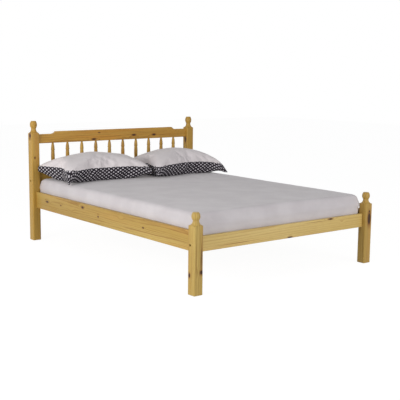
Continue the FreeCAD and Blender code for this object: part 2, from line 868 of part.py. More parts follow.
def make_connector_bolts():
    """Flat-headed bolts, sunk in the posts' outer faces and reaching through the barrel nuts."""
    solids = []
    for side, y, z in bolted_joints():
        inward = X_AXIS * -side
        head = point((half_width - S.bolt_sink_depth) * side, y, z) - inward * S.bolt_head_thickness.number
        length = S.post_width - S.bolt_sink_depth + S.bolt_reach
        shank_start = head + inward * S.bolt_head_thickness.number
        disc = rod(S.bolt_head_radius.number, S.bolt_head_thickness.number, head, inward)
        shank = rod(S.bolt_radius.number, length.number, shank_start, inward)
        solids.append(disc.fuse(shank).removeSplitter())
    return group("connector_bolts", solids)


def make_barrel_nuts():
    solids = []
    thread = S.bolt_radius.number + S.thread_fit.number
    for side, y, z in bolted_joints():
        x = (cross_rail_length / 2 - S.barrel_setback) * side
        start = point(x, y - S.barrel_length / 2, z)
        barrel = rod(S.barrel_radius.number, S.barrel_length.number, start, Y_AXIS)
        span = S.barrel_radius.number * 2
        solids.append(barrel.cut(rod(thread, 2 * span, point(x, y, z) - X_AXIS * span, X_AXIS)))
    return group("barrel_nuts", solids)


def stud_joints():
    """End of the bed, rail-end point and direction into the post, for each side rail's end."""
    joints = []
    for side in SIDES.values():
        for end in ENDS.values():
            joint = point(side_rail_x * side, side_rail_length / 2 * end, side_rail_z)
            joints.append((side, joint, Y_AXIS * end))
    return joints


def make_stud_inserts():
    thread = S.stud_radius.number + S.thread_fit.number
    depth = S.insert_length.number
    outer = S.insert_radius.number
    solids = [tube(outer, thread, depth, joint, outward) for side, joint, outward in stud_joints()]
    return group("stud_inserts", solids)


def make_studs():
    inside = S.pocket_setback + S.washer_thickness + S.stud_nut_thickness + S.stud_tail
    length = inside.number + S.insert_length.number
    solids = []
    for side, joint, outward in stud_joints():
        solids.append(rod(S.stud_radius.number, length, joint - outward * inside.number, outward))
    return group("bed_studs", solids)


def make_washers():
    """Half-moon plates that bear on the pockets' end walls."""
    hole = S.stud_radius.number + S.bolt_fit.number
    thickness = S.washer_thickness.number
    depth = S.washer_depth.number
    half = S.washer_height.number / 2
    solids = []
    for side, joint, outward in stud_joints():
        face = joint - outward * S.pocket_setback.number
        inward = X_AXIS * -side
        back = face - inward * (depth - half / 2)
        corner_low = back - Z_AXIS * half
        corner_high = back + Z_AXIS * half
        straight = depth / 2
        nose = back + inward * (depth + straight / 2)
        low = corner_low + inward * straight
        high = corner_high + inward * straight
        edges = [
            Part.LineSegment(corner_high, corner_low).toShape(),
            Part.LineSegment(corner_low, low).toShape(),
            Part.Arc(low, nose, high).toShape(),
            Part.LineSegment(high, corner_high).toShape(),
        ]
        plate = Part.Face(Part.Wire(edges)).extrude(outward * -thickness)
        solids.append(plate.cut(rod(hole, thickness, face, outward * -1)))
    return group("half_moon_washers", solids)


def make_stud_nuts():
    thread = S.stud_radius.number + S.thread_fit.number
    thickness = S.stud_nut_thickness.number
    corner = S.stud_nut_flats.number / math.sqrt(3)
    solids = []
    for side, joint, outward in stud_joints():
        seat = joint - outward * (S.pocket_setback.number + S.washer_thickness.number)
        ring = []
        for number in range(7):
            angle = math.radians(60 * number)
            ring.append(seat + X_AXIS * (corner * math.cos(angle)) + Z_AXIS * (corner * math.sin(angle)))
        hexagon = Part.Face(Part.makePolygon(ring)).extrude(outward * -thickness)
        solids.append(hexagon.cut(rod(thread, thickness, seat, outward * -1)))
    return group("stud_nuts", solids)


def make_ledger_screws():
    solids = []
    for side in SIDES.values():
        for y in ledger_screw_places():
            head = point((side_rail_inner_x - S.ledger_width) * side, y, ledger_z)
            solids.append(wood_screw(S.ledger_screw_length, head, X_AXIS * side))
    return group("ledger_screws", solids)


def make_slat_screws():
    solids = []
    for y in slat_places():
        for x in slat_screw_places():
            solids.append(wood_screw(S.slat_screw_length, point(x, y, S.slat_top_height), Z_AXIS * -1))
    return group("slat_screws", solids)


def make_saddle_screws():
    """Screws whose heads stand on the saddles' ears."""
    solids = []
    for end, rail_face in ((-1, foot_rail_inner_y), (1, head_rail_inner_y)):
        proud = S.saddle_sheet + S.screw_head_depth
        for side in SIDES.values():
            x = saddle_screw_x * side
            z = centre_rail_underside + saddle_screw_z
            head = point(x, rail_face - proud * end, z)
            solids.append(wood_screw(S.saddle_screw_length, head, Y_AXIS * end))
    return group("saddle_screws", solids)


# ---------------------------------------------------------------- mattress and sheet

def make_mattress_form(label, skin):
    """Mattress block with a crowned top, bulged sides and rounded corners, grown by a skin."""
    body = new_body(label)
    half = mattress_width / 2 + skin
    waist = half - S.mattress_side_bulge
    low = -skin
    edge = S.mattress_edge_height + skin
    middle = S.mattress_edge_height / 2
    section = [
        ((waist, low),),
        ((half, middle), (waist, edge)),
        ((ZERO, edge + S.mattress_crown), (-waist, edge)),
        ((-half, middle), (-waist, low)),
    ]
    outline = draw_outline(new_sketch(body, "section", "Y"), section)
    pad(body, outline, mattress_length + skin * 2, both_ways=True)

    def upright_corner(edge_shape):
        box = edge_shape.BoundBox
        return box.YLength < FLUSH and box.ZLength > edge.number / 2 and box.XLength < half.number

    dress_edges(body, "Fillet", "Radius", S.mattress_corner_radius + skin, upright_corner)

    def along_the_top(edge_shape):
        box = edge_shape.BoundBox
        return box.ZMin > edge.number * 0.8 and max(box.XLength, box.YLength) > S.sheet_thickness.number

    dress_edges(body, "Fillet", "Radius", S.mattress_top_radius + skin, along_the_top)
    dress_edges(body, "Fillet", "Radius", S.mattress_foot_radius + skin, lies_at_height(low.number))
    return place(body, ZERO, bedding_centre_y, S.slat_top_height + S.sheet_thickness)


def make_fitted_sheet(mattress):
    """Sheet drawn over the mattress and turned under its edge all round."""
    whole = make_mattress_form("sheet_outside", S.sheet_thickness)
    shell = doc.addObject("Part::Cut", "sheet_shell")
    shell.Base = whole
    shell.Tool = mattress
    mouth = doc.addObject("Part::Box", "sheet_mouth")
    length = mattress_length - S.sheet_turn_under * 2
    width = mattress_width - S.sheet_turn_under * 2
    bind(mouth, "Length", width)
    bind(mouth, "Width", length)
    bind(mouth, "Height", S.sheet_thickness * 2)
    place(mouth, width / -2, bedding_centre_y - length / 2, S.slat_top_height - S.sheet_thickness)
    sheet = doc.addObject("Part::Cut", "fitted_sheet")
    sheet.Label = "fitted_sheet"
    sheet.Base = shell
    sheet.Tool = mouth
    doc.recompute()
    return as_node(sheet)


# ---------------------------------------------------------------- pillows

PILLOW_STATIONS = (-1, -0.95, -0.8, -0.5, 0, 0.5, 0.8, 0.95, 1)


def pillow_section(x, share):
    """Closed outline square to the pillow's length, share running from 0 in the middle to 1 at an end."""
    rise = (1 - share ** 2) ** 0.6
    top = S.pillow_end_height.number + (S.pillow_height.number - S.pillow_end_height.number) * rise
    base = S.pillow_end_lift.number * share ** 6
    seam = (top + base) / 2
    half = S.pillow_depth.number / 2 + S.pillow_ear_reach.number * share ** 8
    foot = half - S.pillow_undercut.number
    belly = S.pillow_belly.number
    flank = (half + foot) / 2 + belly * ROOT_HALF
    flank_height = (seam + base) / 2 - belly * ROOT_HALF

    def at(y, z):
        return FreeCAD.Vector(x, y, z)

    front, back = at(-half, seam), at(half, seam)
    edges = [
        Part.Arc(front, at(0, top), back).toShape(),
        Part.Arc(back, at(flank, flank_height), at(foot, base)).toShape(),
        Part.LineSegment(at(foot, base), at(-foot, base)).toShape(),
        Part.Arc(at(-foot, base), at(-flank, flank_height), front).toShape(),
    ]
    return Part.Wire(edges)


def make_pillow(side_name, centre_x, back_gap, turned):
    """Filled pillow lying on the sheet: highest in its middle, drawn in between its four corners."""
    half = pillow_length.number / 2
    sections = [pillow_section(half * share, abs(share)) for share in PILLOW_STATIONS]
    pillow = doc.addObject("Part::Feature", "pillow_" + side_name)
    pillow.Label = "pillow_" + side_name
    pillow.Shape = Part.makeLoft(sections, True, False)
    reach = S.pillow_depth.number / 2 + S.pillow_ear_reach.number
    y = head_rail_inner_y.number - back_gap.number - reach
    sheet_top = S.slat_top_height + S.sheet_thickness * 2 + S.mattress_edge_height + S.mattress_crown
    z = (sheet_top + S.pillow_clearance - S.pillow_settle).number
    pillow.Placement = FreeCAD.Placement(point(centre_x, y, z), FreeCAD.Rotation(Z_AXIS, turned))
    return as_node(pillow)


# ---------------------------------------------------------------- the bed

for side_name in SIDES:
    for end_name in ENDS:
        make_post(side_name, end_name)

make_cross_rail(FOOT_RAIL, carries_centre_rail=True)
make_cross_rail(SLAT_RAIL, carries_centre_rail=True)
make_cross_rail(LOWER_RAIL, spindle_edge=1)
make_cross_rail(TOP_RAIL, crested=True, spindle_edge=-1)
for number, x in enumerate(spindle_places(), start=1):
    make_spindle(number, x)

for side_name in SIDES:
    make_side_rail(side_name)
    make_ledger(side_name)
for number, y in enumerate(slat_places(), start=1):
    make_slat(number, y)
make_centre_rail()
make_centre_leg()
make_centre_leg_pin()
for end_name in ENDS:
    make_saddle(end_name)

make_dowels()
make_connector_bolts()
make_barrel_nuts()
make_stud_inserts()
make_studs()
make_washers()
make_stud_nuts()
make_ledger_screws()
make_slat_screws()
make_saddle_screws()

mattress = as_node(make_mattress_form("mattress", ZERO))
make_fitted_sheet(mattress)
left_centre = pillow_length / -2 + S.left_pillow_shift
right_centre = pillow_length / 2 + S.right_pillow_shift
make_pillow("left", left_centre, S.left_pillow_back_gap, 0)
make_pillow("right", right_centre, S.right_pillow_back_gap, S.right_pillow_turn.number)

doc.recompute()

for thing in doc.Objects:
    if "Invalid" in thing.State or "Error" in thing.State:
        raise RuntimeError(thing.Label + " failed: " + str(thing.State))
for node in nodes:
    if node.Shape.isNull() or not node.Shape.isValid():
        raise RuntimeError(node.Label + " has no valid shape")

os.makedirs("parts", exist_ok=True)
for node in nodes:
    node.Shape.exportStep("parts/" + node.Label + ".step")

box = FreeCAD.BoundBox()
for node in nodes:
    box.add(node.Shape.optimalBoundingBox(False))
print(len(nodes), "nodes", sum(len(node.Shape.Solids) for node in nodes), "solids")
print("overall", [round(span, 2) for span in (box.XLength, box.YLength, box.ZLength)])
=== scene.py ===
"""Looks of a double pine bed with a turned spindle headboard, dressed with mattress, sheet and pillows.

Metres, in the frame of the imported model: X to the right seen from the foot, Y to the head, Z up.
"""

import math
import random

import bmesh
import bpy
from mathutils import Matrix, Vector, noise


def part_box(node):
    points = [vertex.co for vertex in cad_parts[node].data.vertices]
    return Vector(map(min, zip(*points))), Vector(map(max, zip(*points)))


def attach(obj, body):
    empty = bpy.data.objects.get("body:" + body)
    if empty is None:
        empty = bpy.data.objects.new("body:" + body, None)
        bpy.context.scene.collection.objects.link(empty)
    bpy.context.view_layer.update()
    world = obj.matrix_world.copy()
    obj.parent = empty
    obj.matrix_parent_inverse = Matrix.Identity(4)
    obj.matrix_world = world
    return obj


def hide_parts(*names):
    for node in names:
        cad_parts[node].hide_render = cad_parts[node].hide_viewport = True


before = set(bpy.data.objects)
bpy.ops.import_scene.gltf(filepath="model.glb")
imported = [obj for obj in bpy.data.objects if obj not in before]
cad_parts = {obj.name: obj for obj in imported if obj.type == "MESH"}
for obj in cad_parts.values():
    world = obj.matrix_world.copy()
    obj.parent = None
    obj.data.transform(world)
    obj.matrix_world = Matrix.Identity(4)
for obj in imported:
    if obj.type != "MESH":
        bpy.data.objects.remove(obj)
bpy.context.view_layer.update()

MM = 0.001
X, Y, Z = 0, 1, 2

# ------------------------------------------------------------------ colours, scene-linear

PINE_LIGHT = (0.555, 0.400, 0.120, 1)
PINE_HONEY = (0.410, 0.255, 0.052, 1)
PINE_LINE = (0.260, 0.120, 0.018, 1)
PINE_BLUSH = (0.500, 0.280, 0.068, 1)
FOOT_LIGHT = (0.720, 0.560, 0.240, 1)
FOOT_HONEY = (0.600, 0.425, 0.130, 1)
FOOT_LINE = (0.380, 0.200, 0.050, 1)
FOOT_BLUSH = (0.690, 0.460, 0.160, 1)
TOP_LIGHT = (0.680, 0.425, 0.092, 1)
TOP_HONEY = (0.500, 0.265, 0.041, 1)
TOP_LINE = (0.260, 0.105, 0.014, 1)
TOP_BLUSH = (0.620, 0.275, 0.038, 1)
HEAD_LIGHT = (0.560, 0.350, 0.075, 1)
HEAD_HONEY = (0.410, 0.220, 0.034, 1)
HEAD_LINE = (0.220, 0.095, 0.013, 1)
HEAD_BLUSH = (0.520, 0.240, 0.035, 1)
RAW_LIGHT = (0.640, 0.470, 0.240, 1)
RAW_HONEY = (0.540, 0.360, 0.155, 1)
RAW_LINE = (0.400, 0.230, 0.085, 1)
RAW_BLUSH = (0.560, 0.360, 0.150, 1)
# Knot colours, also used for the marks of painted shade drawn as knots on the head posts.
KNOT_AND_SHADE_HALO = (0.210, 0.070, 0.010, 1)
KNOT_AND_SHADE_CORE = (0.042, 0.014, 0.003, 1)
BEECH = (0.520, 0.330, 0.170, 1)
BEECH_FLECK = (0.400, 0.230, 0.105, 1)
ZINC = (0.600, 0.610, 0.630, 1)
# Near black of the sunk bolt heads, painted shade of their holes.
BOLT_HOLE_SHADE = (0.020, 0.017, 0.015, 1)
SHEET = (0.615, 0.582, 0.600, 1)
SHEET_SHADE = (0.560, 0.525, 0.545, 1)
PILLOW = (0.750, 0.700, 0.712, 1)
PILLOW_SHADE = (0.680, 0.635, 0.648, 1)
CHECK_DARK = (0.012, 0.009, 0.014, 1)
CHECK_FADED = (0.024, 0.018, 0.027, 1)
CHECK_DOT = (0.620, 0.590, 0.630, 1)
TICKING = (0.640, 0.620, 0.580, 1)
TICKING_STRIPE = (0.330, 0.350, 0.400, 1)


# ------------------------------------------------------------------ shader building

class Shader:
    """A node material put together by short calls; each call returns the socket it makes."""

    def __init__(self, name):
        self.material = bpy.data.materials.new(name)
        self.material.use_nodes = True
        self.tree = self.material.node_tree
        self.surface = self.tree.nodes["Principled BSDF"]

    def node(self, kind, inputs=None, **settings):
        made = self.tree.nodes.new("ShaderNode" + kind)
        for key, value in settings.items():
            setattr(made, key, value)
        for key, value in (inputs or {}).items():
            self.feed(made.inputs[key], value)
        return made

    def feed(self, socket, value):
        if isinstance(value, bpy.types.NodeSocket):
            self.tree.links.new(value, socket)
        else:
            socket.default_value = value

    def math(self, operation, first, second=0.0):
        return self.node("Math", {0: first, 1: second}, operation=operation).outputs[0]

    def vector(self, operation, first, second=(0, 0, 0)):
        made = self.node("VectorMath", {0: first, 1: second}, operation=operation)
        return made.outputs["Value" if operation == "LENGTH" else "Vector"]

    def scaled(self, vector, factor):
        return self.node("VectorMath", {0: vector, "Scale": factor}, operation="SCALE").outputs["Vector"]

    def noise(self, vector, scale, detail=2.0, output="Fac"):
        made = self.node("TexNoise", {"Vector": vector, "Scale": scale, "Detail": detail})
        return made.outputs[output]

    def fade(self, value, start, end, low=0.0, high=1.0):
        """Smooth step from low to high as the value goes from start to end."""
        inputs = {"Value": value, "From Min": start, "From Max": end, "To Min": low, "To Max": high}
        return self.node("MapRange", inputs, interpolation_type="SMOOTHSTEP").outputs["Result"]

    def mix(self, share, first, second):
        made = self.node("Mix", data_type="RGBA")
        self.feed(made.inputs[0], share)
        self.feed(made.inputs[6], first)
        self.feed(made.inputs[7], second)
        return made.outputs[2]

    def place(self):
        return self.node("TexCoord").outputs["Object"]

    def uv(self):
        return self.node("TexCoord").outputs["UV"]

    def bump(self, height, strength, distance):
        made = self.node("Bump", {"Height": height, "Strength": strength, "Distance": distance})
        self.tree.links.new(made.outputs["Normal"], self.surface.inputs["Normal"])

    def finish(self, **sockets):
        """Set the surface's own sockets; a name's underscores stand for spaces."""
        for name, value in sockets.items():
            self.feed(self.surface.inputs[name.replace("_", " ")], value)
        return self.material


# ------------------------------------------------------------------ wood

# A wave texture of scale s repeats every 2 pi / (WAVE_TURNS * s).
WAVE_TURNS = 20.0
RING_GAP = 8.5 * MM
GRAIN_STRETCH = 0.07
# The pith lies this many millimetres from the board's middle, and up to this many metres along it.
PITH_OFFSET = (35, 75)
PITH_SHIFT = 3
SWAY_SCALE, SWAY_REACH = 9.0, 44 * MM
STREAK_SCALE, HAIR_SCALE, BROAD_SCALE, WARM_SCALE = 60.0, 420.0, 5.0, 16.0
WARM_SHIFT = (3.1, 1.7, 2.3)

# Reaches of a knot's parts, in its own measure: 1 is the rim of its core.
KNOT_DEPTH = 10 * MM
CORE_FADE = (1.2, 0.75)
HALO_FADE = (2.2, 0.9)
PUSH_FADE = (4.5, 0.0)
PUSH = 12 * MM
HALO_SHARE = 0.75
STREAK_FADE = (1.3, 0.3)
STREAK_SHARE = 0.8

# Where each pattern starts and ends, then its share of the colour where that isn't all.
BROAD_FADE = (0.32, 0.70)
BLUSH_FADE = (0.50, 0.72, 0.0, 0.7)
RING_FADE = (0.45, 1.0)
GRAIN_FADE = (0.30, 0.75, 0.15)
HAIR_FADE = (0.35, 0.80, 0.0, 0.22)
GLOSS_FADE = (0.2, 0.8)
GLOSS_RANGE = 0.16
GRAIN_BUMP = (0.25, 0.25 * MM)
SATIN, PLANED = 0.30, 0.55


def knot_distance(shader, place, knot, along, low, high):
    """How far a point is from a knot's centre, 1 at the rim of its core."""
    *centre, length, width = knot
    reach = [width * MM] * 3
    reach[along] = length * MM
    sides = [axis for axis in (X, Y, Z) if axis != along]

    def from_face(axis):
        return min(abs(centre[axis] * MM - low[axis]), abs(centre[axis] * MM - high[axis]))

    reach[min(sides, key=from_face)] = KNOT_DEPTH
    delta = shader.vector("SUBTRACT", place, tuple(part * MM for part in centre))
    return shader.vector("LENGTH", shader.vector("MULTIPLY", delta, tuple(1 / size for size in reach)))


def wood(name, node, along, tones, knots=(), streaks=(), gloss=SATIN, contrast=0.95):
    """Plain-sawn timber whose grain runs along one axis, with rings that bend round its knots.

    Tones are its light and honey wood, its dark rings and its blush. Contrast is the rings' strength.
    """
    shader = Shader(name)
    light, honey, line, blush = tones
    dice = random.Random(name)
    low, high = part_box(node)
    centre = [(a + b) / 2 for a, b in zip(low, high)]
    pith = [c + dice.choice((-1, 1)) * dice.uniform(*PITH_OFFSET) * MM for c in centre]
    pith[along] = dice.uniform(-PITH_SHIFT, PITH_SHIFT)

    place = shader.place()
    stretch = [1.0, 1.0, 1.0]
    stretch[along] = GRAIN_STRETCH
    fibre = shader.vector("MULTIPLY", shader.vector("SUBTRACT", place, tuple(pith)), tuple(stretch))

    sway = shader.noise(fibre, SWAY_SCALE, 3.0, "Color")
    sway = shader.scaled(shader.vector("SUBTRACT", sway, (0.5, 0.5, 0.5)), SWAY_REACH)
    bent = shader.vector("ADD", fibre, sway)

    core = 0.0
    halo = 0.0
    # The knots given from the table include marks of painted shade, drawn the same way.
    for knot in knots:
        away = knot_distance(shader, place, knot, along, low, high)
        core = shader.math("MAXIMUM", core, shader.fade(away, *CORE_FADE))
        halo = shader.math("MAXIMUM", halo, shader.fade(away, *HALO_FADE))
        push = shader.math("MULTIPLY", shader.fade(away, *PUSH_FADE), PUSH)
        shove = shader.node("CombineXYZ", {axis: push for axis in (X, Y, Z) if axis != along}).outputs[0]
        bent = shader.vector("ADD", bent, shove)

    rings = shader.node(
        "TexWave",
        {"Vector": bent, "Scale": 2 * math.pi / (WAVE_TURNS * RING_GAP), "Distortion": 0.0},
        wave_type="RINGS",
        rings_direction="XYZ"[along],
        wave_profile="SAW",
    ).outputs["Fac"]
    streak = shader.noise(fibre, STREAK_SCALE, 4.0)
    hair = shader.noise(fibre, HAIR_SCALE, 2.0)
    broad = shader.noise(fibre, BROAD_SCALE, 2.0)
    warm = shader.noise(shader.vector("ADD", fibre, WARM_SHIFT), WARM_SCALE, 2.0)

    grain = shader.fade(streak, *GRAIN_FADE, contrast)
    late = shader.math("MULTIPLY", shader.fade(rings, *RING_FADE), grain)
    colour = shader.mix(shader.fade(broad, *BROAD_FADE), light, honey)
    colour = shader.mix(shader.fade(warm, *BLUSH_FADE), colour, blush)
    colour = shader.mix(late, colour, line)
    colour = shader.mix(shader.fade(hair, *HAIR_FADE), colour, line)
    for streak_line in streaks:
        away = knot_distance(shader, place, streak_line, along, low, high)
        colour = shader.mix(shader.fade(away, *STREAK_FADE, 0.0, STREAK_SHARE), colour, KNOT_AND_SHADE_HALO)
    if knots:
        colour = shader.mix(shader.math("MULTIPLY", halo, HALO_SHARE), colour, KNOT_AND_SHADE_HALO)
        colour = shader.mix(core, colour, KNOT_AND_SHADE_CORE)
    shader.bump(shader.math("ADD", late, hair), *GRAIN_BUMP)
    rough = shader.fade(streak, *GLOSS_FADE, gloss, gloss + GLOSS_RANGE)
    return shader.finish(Base_Color=colour, Roughness=rough, Specular_IOR_Level=0.25)


# Knots, and two marks of painted shade drawn as knots on the head posts: x, y, z of the middle and half
# lengths along and across the grain, millimetres.
KNOTS_AND_PAINTED_SHADE = {
    "head_top_rail": [
        (-208, 956, 727, 17, 6), (158, 956, 747, 17, 6), (352, 956, 743, 15, 7), (-161, 956, 776, 8, 3),
        (-455, 982, 742, 14, 8), (60, 982, 738, 9, 6), (480, 982, 758, 16, 8),
    ],
    "head_lower_rail": [(-390, 956, 430, 18, 9), (240, 982, 455, 16, 9), (-120, 982, 420, 12, 7)],
    "foot_rail": [(375, -971, 324, 18, 4), (20, -971, 245, 17, 5), (480, -946, 290, 12, 7)],
    "side_rail_left": [
        (-710, 775, 307, 17, 6), (-710, 574, 306, 7, 4), (-710, 272, 332, 14, 7), (-710, 72, 297, 7, 5),
        (-710, -450, 303, 9, 4), (-684, -200, 320, 14, 8), (-684, 430, 290, 16, 9),
    ],
    "side_rail_right": [
        (710, 700, 300, 15, 8), (710, 180, 322, 12, 7), (710, -360, 280, 17, 9), (710, -720, 318, 8, 5),
        (684, 400, 300, 14, 8),
    ],
    "head_post_left": [
        # The middle mark here, large, on the post's outer face under its turned top, is painted shade drawn
        # as a knot.
        (-718, 938, 611, 7, 4), (-740, 966, 772, 16, 12), (-700, 1000, 520, 14, 9),
    ],
    "head_post_right": [
        # The first mark here, on the post's inner face right under the top rail's end, is painted shadow of
        # that joint drawn as a knot.
        (678, 965, 690, 22, 9), (700, 938, 330, 12, 8), (740, 975, 560, 15, 9), (722, 1000, 300, 13, 8),
    ],
    "foot_post_left": [
        (-740, -954, 113, 12, 7), (-690, -1000, 132, 12, 10), (-693, -1000, 205, 60, 3),
        (-678, -975, 300, 14, 8),
    ],
    "foot_post_right": [
        (713, -1000, 297, 38, 13), (713, -1000, 345, 8, 6), (740, -965, 160, 14, 8), (700, -938, 210, 12, 8),
    ],
}

# Dark grain lines, in the same measures.
STREAKS = {
    "side_rail_left": [
        (-710, -400, 279, 260, 2.2), (-710, -760, 284, 190, 2.0), (-710, 120, 275, 210, 1.6),
    ],
    "foot_post_left": [
        (-697, -1000, 330, 60, 2.0), (-684, -1000, 260, 160, 2.2), (-740, -975, 200, 150, 1.6),
    ],
    "foot_rail": [(250, -971, 318, 120, 1.8), (-420, -971, 262, 160, 2.0)],
    "head_top_rail": [(-330, 956, 722, 90, 2.0), (560, 956, 730, 80, 1.8)],
}


# How near a board's edges a made-up knot may lie, and its half lengths in millimetres.
KNOT_MARGIN = 0.12
KNOT_LENGTH = (8, 15)
KNOT_WIDTH = (5, 8)


def spread_knots(node, count):
    """A few small made-up knots for a plain board."""
    dice = random.Random(node)
    low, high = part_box(node)
    knots = []
    for _ in range(count):
        point = []
        for start, end in zip(low, high):
            margin = (end - start) * KNOT_MARGIN
            point.append(dice.uniform(start + margin, end - margin) / MM)
        knots.append((*point, dice.uniform(*KNOT_LENGTH), dice.uniform(*KNOT_WIDTH)))
    return knots


LACQUERED = (PINE_LIGHT, PINE_HONEY, PINE_LINE, PINE_BLUSH)
PALE = (FOOT_LIGHT, FOOT_HONEY, FOOT_LINE, FOOT_BLUSH)
MELLOWED = (HEAD_LIGHT, HEAD_HONEY, HEAD_LINE, HEAD_BLUSH)
TOP_RAIL = (TOP_LIGHT, TOP_HONEY, TOP_LINE, TOP_BLUSH)
RAW = (RAW_LIGHT, RAW_HONEY, RAW_LINE, RAW_BLUSH)


def dress(node, material):
    """Give a carried-over piece its material."""
    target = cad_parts[node]
    target.data.materials.clear()
    target.data.materials.append(material)


def dress_lacquered(node, along, tones, **looks):
    knots, streaks = KNOTS_AND_PAINTED_SHADE.get(node, ()), STREAKS.get(node, ())
    dress(node, wood("pine_" + node, node, along, tones, knots, streaks, **looks))


def dress_raw(node, along, knot_count):
    dress(node, wood("raw_" + node, node, along, RAW, spread_knots(node, knot_count), gloss=PLANED))


def dress_wood():
    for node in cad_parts:
        if "post" in node:
            dress_lacquered(node, Z, MELLOWED if node.startswith("head") else LACQUERED)
        elif node.startswith("side_rail"):
            dress_lacquered(node, Y, LACQUERED)
        elif node == "foot_rail":
            dress_lacquered(node, X, PALE, contrast=0.6)
        elif node == "head_top_rail":
            dress_lacquered(node, X, TOP_RAIL)
        elif node == "head_lower_rail":
            dress_lacquered(node, X, MELLOWED)
        elif node.startswith("spindle"):
            dress_lacquered(node, Z, MELLOWED, contrast=0.9)
        elif node.startswith("slat"):
            dress_raw(node, X, 2)
        elif node == "head_slat_rail":
            dress_raw(node, X, 3)
        elif node.startswith("ledger") or node == "centre_rail":
            dress_raw(node, Y, 3)
        elif node == "centre_leg":
            dress_raw(node, Z, 1)


def beech():
    """Pale beech with short dark flecks."""
    shader = Shader("beech_dowel")
    place = shader.place()
    fleck = shader.noise(shader.vector("MULTIPLY", place, (1.0, 1.0, 0.4)), 900.0, 2.0)
    colour = shader.mix(shader.fade(fleck, 0.52, 0.66), BEECH, BEECH_FLECK)
    shader.bump(fleck, 0.2, 0.2 * MM)
    return shader.finish(Base_Color=colour, Roughness=0.6)


MOTTLE_SCALE = 350.0


def zinc():
    """Bright zinc plate with the faint mottling of a barrel finish."""
    shader = Shader("zinc_plate")
    mottle = shader.noise(shader.place(), MOTTLE_SCALE, 3.0)
    shader.bump(mottle, 0.1, 0.1 * MM)
    rough = shader.fade(mottle, 0.3, 0.7, 0.28, 0.46)
    return shader.finish(Base_Color=ZINC, Metallic=1.0, Roughness=rough)


def black_steel():
    """Sunk bolt heads coloured near black: painted shade of the holes they sit in."""
    shader = Shader("black_steel")
    mottle = shader.noise(shader.place(), MOTTLE_SCALE, 3.0)
    shader.bump(mottle, 0.1, 0.1 * MM)
    return shader.finish(Base_Color=BOLT_HOLE_SHADE, Roughness=0.6)


STEEL_NODES = (
    "barrel_nuts", "stud_inserts", "bed_studs", "half_moon_washers", "stud_nuts",
    "ledger_screws", "slat_screws", "saddle_screws", "centre_rail_saddle_head", "centre_rail_saddle_foot",
)


# ------------------------------------------------------------------ cloth

THREAD = 0.7 * MM
THREAD_SHARE = 0.010
TICKING_THREAD = 1.2 * MM
TICKING_PITCH = 36 * MM
DOT_PITCH = 37 * MM
DOT_SIZE = 0.18
DOT_BLUR = 0.03


def weave_height(shader, place, pitch):
    """Height of a plain weave: threads laid across each other along the three axes."""
    bands = [
        shader.node(
            "TexWave",
            {"Vector": place, "Scale": 2 * math.pi / (WAVE_TURNS * pitch), "Distortion": 0.4},
            wave_type="BANDS",
            bands_direction=way,
        ).outputs["Fac"]
        for way in "XYZ"
    ]
    return shader.math("ADD", shader.math("ADD", bands[0], bands[1]), bands[2])


def cotton(name, colour, shade, crease):
    """Plain woven cotton with soft creases."""
    shader = Shader(name)
    place = shader.place()
    cloud = shader.noise(place, 7.0, 3.0)
    folds = shader.noise(shader.vector("MULTIPLY", place, (1.0, 0.55, 1.0)), 11.0, 3.0)
    threads = weave_height(shader, place, THREAD)
    tone = shader.mix(shader.fade(cloud, 0.3, 0.7), colour, shade)
    weave = shader.math("MULTIPLY", threads, THREAD_SHARE)
    height = shader.math("ADD", weave, shader.math("MULTIPLY", folds, crease))
    shader.bump(height, 0.5, 12 * MM)
    return shader.finish(Base_Color=tone, Roughness=0.86, Sheen_Weight=0.25, Sheen_Roughness=0.5)


def dotted_cotton():
    """Dark cotton with a small all-over lattice of pale dots, on the case's own measure."""
    shader = Shader("cotton_dotted")
    cells = shader.vector("MULTIPLY", shader.uv(), (1 / DOT_PITCH, 1 / DOT_PITCH, 0))
    nearest = None
    for shift in ((0.0, 0.0, 0.0), (0.5, 0.5, 0.0)):
        local = shader.vector("FRACTION", shader.vector("ADD", cells, shift))
        away = shader.vector("LENGTH", shader.vector("SUBTRACT", local, (0.5, 0.5, 0.0)))
        nearest = away if nearest is None else shader.math("MINIMUM", nearest, away)
    dot = shader.fade(nearest, DOT_SIZE + DOT_BLUR, DOT_SIZE - DOT_BLUR)
    cloud = shader.noise(shader.place(), 9.0, 2.0)
    ground = shader.mix(shader.fade(cloud, 0.3, 0.7, 0.0, 0.35), CHECK_DARK, CHECK_FADED)
    threads = weave_height(shader, shader.place(), THREAD)
    shader.bump(threads, 0.3, 0.15 * MM)
    colour = shader.mix(dot, ground, CHECK_DOT)
    return shader.finish(Base_Color=colour, Roughness=0.84, Specular_IOR_Level=0.3)


def ticking():
    """Striped mattress ticking."""
    shader = Shader("mattress_ticking")
    place = shader.place()
    stripes = shader.node(
        "TexWave",
        {"Vector": place, "Scale": 2 * math.pi / (WAVE_TURNS * TICKING_PITCH), "Distortion": 0.0},
        wave_type="BANDS",
        bands_direction="X",
    ).outputs["Fac"]
    colour = shader.mix(shader.fade(stripes, 0.86, 0.93, 0.0, 0.7), TICKING, TICKING_STRIPE)
    threads = weave_height(shader, place, TICKING_THREAD)
    shader.bump(threads, 0.4, 0.3 * MM)
    return shader.finish(Base_Color=colour, Roughness=0.9)


# ------------------------------------------------------------------ mesh helpers

def new_piece(name, mesh, materials):
    piece = bpy.data.objects.new(name, mesh)
    bpy.context.scene.collection.objects.link(piece)
    for material in materials:
        mesh.materials.append(material)
    for face in mesh.polygons:
        face.use_smooth = True
    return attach(piece, "root")


